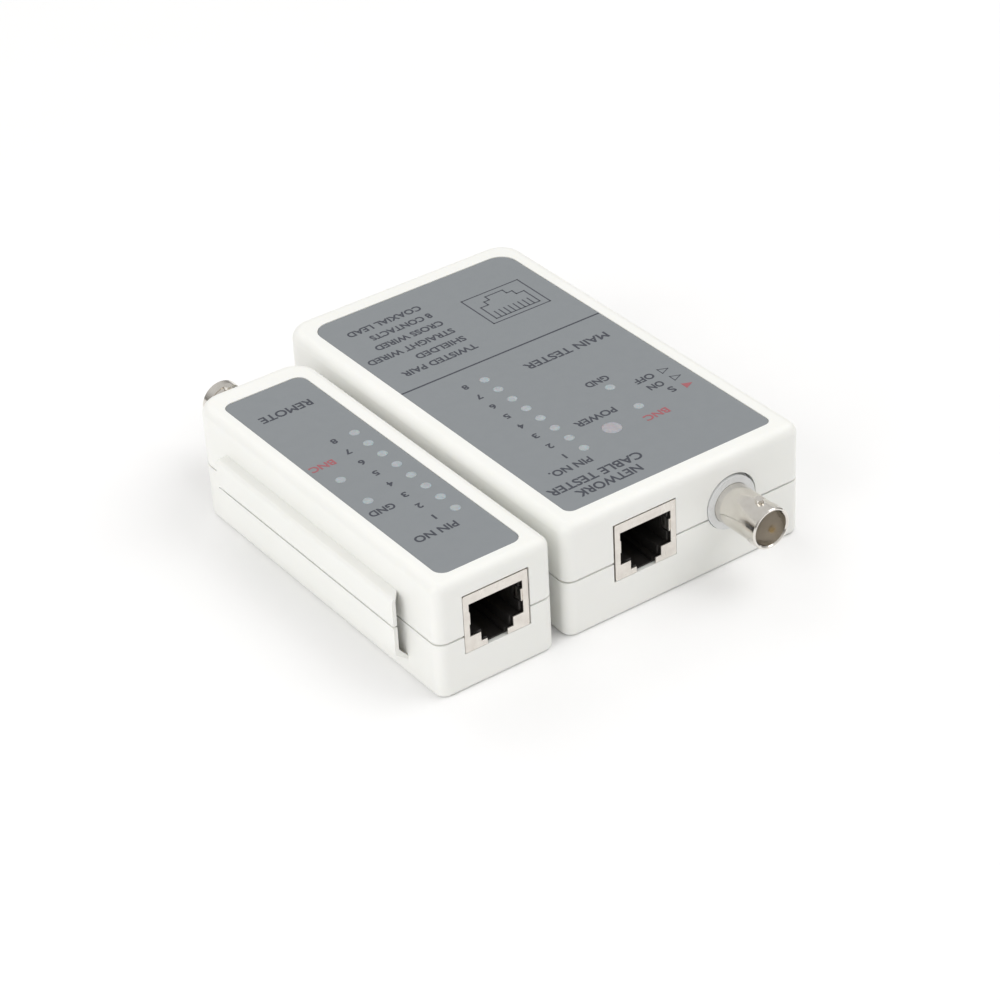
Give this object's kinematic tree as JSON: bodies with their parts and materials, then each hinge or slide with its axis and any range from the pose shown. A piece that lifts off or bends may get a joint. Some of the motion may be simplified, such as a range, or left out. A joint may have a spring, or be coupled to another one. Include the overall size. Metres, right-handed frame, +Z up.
{
  "type": "network cable tester",
  "caption": "Two-piece network cable tester: box-shaped main and remote units, each with a row of indicator windows, a shielded modular jack and a bayonet coax socket.",
  "frame": {"origin": "centre of the main unit's underside, on the table plane", "axes": "+Y from the modular-jack end to the far end, +Z up out of the labels, +X from the remote unit towards the main unit's switch side"},
  "size_m": [0.0985, 0.1181, 0.0272],
  "materials": {
    "case": "moulded off-white ABS, fine satin texture",
    "label_film": "printed grey overlay film, fine satin",
    "board": "green solder mask over glass-epoxy laminate",
    "shield": "tin-plated stamped steel, satin",
    "jack_insert": "black glass-filled moulding",
    "contact_gold": "gold-plated spring wire",
    "coax_housing": "ivory moulded body",
    "coax_barrel": "bright nickel plate",
    "coax_insulator": "white dielectric",
    "led": "diffused epoxy, unlit",
    "power_led": "pink diffused epoxy, unlit",
    "chip": "black moulded package",
    "resistor": "tan lacquer with colour bands",
    "diode": "orange glass body",
    "capacitor": "dark sleeve",
    "switch_frame": "plated steel can",
    "switch_knob": "black moulding",
    "battery_jacket": "printed film jacket over the cells",
    "terminal": "nickel-plated studs",
    "snap": "soft black vinyl cap",
    "lead_red": "red wire insulation",
    "lead_black": "black wire insulation",
    "screw": "zinc-plated steel"
  },
  "bodies": {
    "main_unit": {"battery": "battery_jacket", "battery_lead_black": "lead_black", "battery_lead_red": "lead_red", "battery_snap": "snap", "battery_snap_contacts": "terminal", "battery_terminals": "terminal", "main_bnc_barrel": "coax_barrel", "main_bnc_housing": "coax_housing", "main_bnc_insulator": "coax_insulator", "main_bnc_socket": "contact_gold", "main_board": "board", "main_board_screws": "screw", "main_bottom_shell": "case", "main_capacitor": "capacitor", "main_case_screws": "screw", "main_counter_chip": "chip", "main_diodes": "diode", "main_jack_contacts": "contact_gold", "main_jack_insert": "jack_insert", "main_jack_shield": "shield", "main_label": "label_film", "main_pin_leds": "led", "main_power_led": "power_led", "main_resistors": "resistor", "main_status_leds": "led", "main_timer_chip": "chip", "main_top_shell": "case", "power_switch_frame": "switch_frame"},
    "switch_knob": {"power_switch_knob": "switch_knob"},
    "battery_door": {"battery_door": "case"},
    "remote_unit": {"remote_bnc_barrel": "coax_barrel", "remote_bnc_housing": "coax_housing", "remote_bnc_insulator": "coax_insulator", "remote_bnc_socket": "contact_gold", "remote_board": "board", "remote_board_screws": "screw", "remote_bottom_shell": "case", "remote_case_screws": "screw", "remote_diodes": "diode", "remote_jack_contacts": "contact_gold", "remote_jack_insert": "jack_insert", "remote_jack_shield": "shield", "remote_label": "label_film", "remote_pin_leds": "led", "remote_resistors": "resistor", "remote_status_leds": "led", "remote_top_shell": "case"}
  },
  "joints": [
    {"name": "switch_slide", "type": "slide", "parent": "main_unit", "child": "switch_knob", "axis": [0, -1, 0], "range_m": [0, 0.0078]},
    {"name": "battery_door_slide", "type": "slide", "parent": "main_unit", "child": "battery_door", "axis": [0, 1, 0], "range_m": [0, 0.036]},
    {"name": "remote_slide", "type": "slide", "parent": "main_unit", "child": "remote_unit", "axis": [-1, 0, 0], "range_m": [0, 0.06]}
  ]
}
